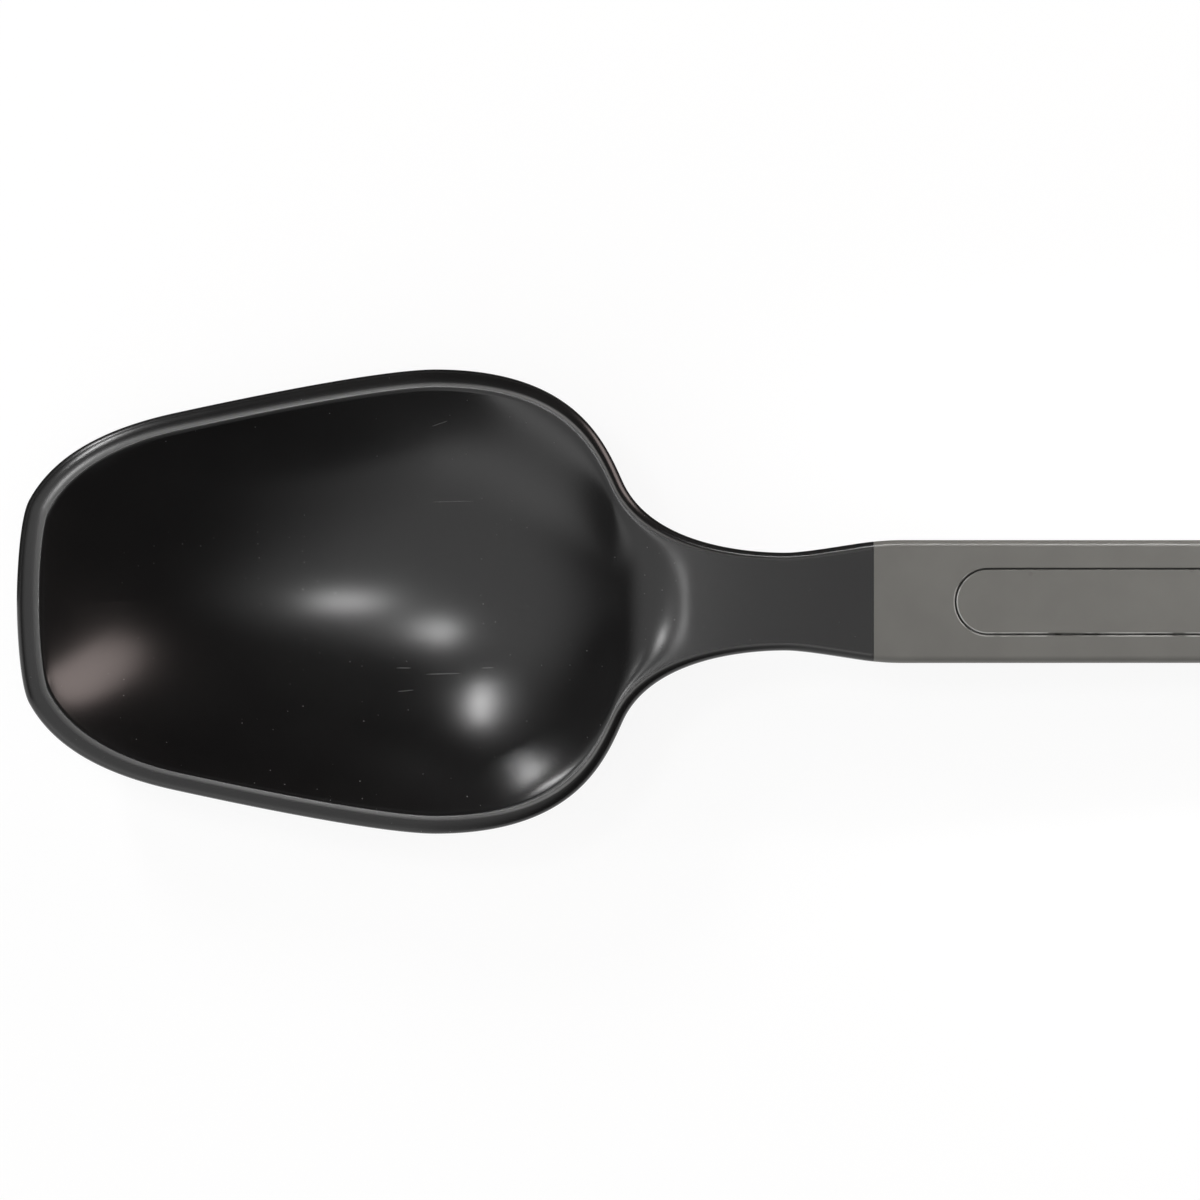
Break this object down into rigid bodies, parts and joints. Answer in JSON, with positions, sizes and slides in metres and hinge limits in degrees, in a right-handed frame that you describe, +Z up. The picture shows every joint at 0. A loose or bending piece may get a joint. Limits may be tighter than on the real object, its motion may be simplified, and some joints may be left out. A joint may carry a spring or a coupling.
{
  "type": "long-handled spoon",
  "caption": "Long-handled serving spoon: blunt-tipped black bowl and slim neck in one moulding, grey bar grip with an inlaid strip and a hanging slot.",
  "frame": {"origin": "centre of the bounding box's base, on the surface that the spoon lies on", "axes": "+X along the spoon from the tip of the bowl to the end of the grip, +Y across it, +Z up out of the bowl"},
  "size_m": [0.3398, 0.072, 0.0219],
  "materials": {
    "head": "satin black nylon",
    "grip": "fine matt grey",
    "inlay": "fine matt grey",
    "pin": "plain steel"
  },
  "bodies": {
    "root": {"spoon_head": "head", "grip_sleeve": "grip", "grip_inlay": "inlay", "tang_pin_front": "pin", "tang_pin_rear": "pin"}
  },
  "joints": []
}
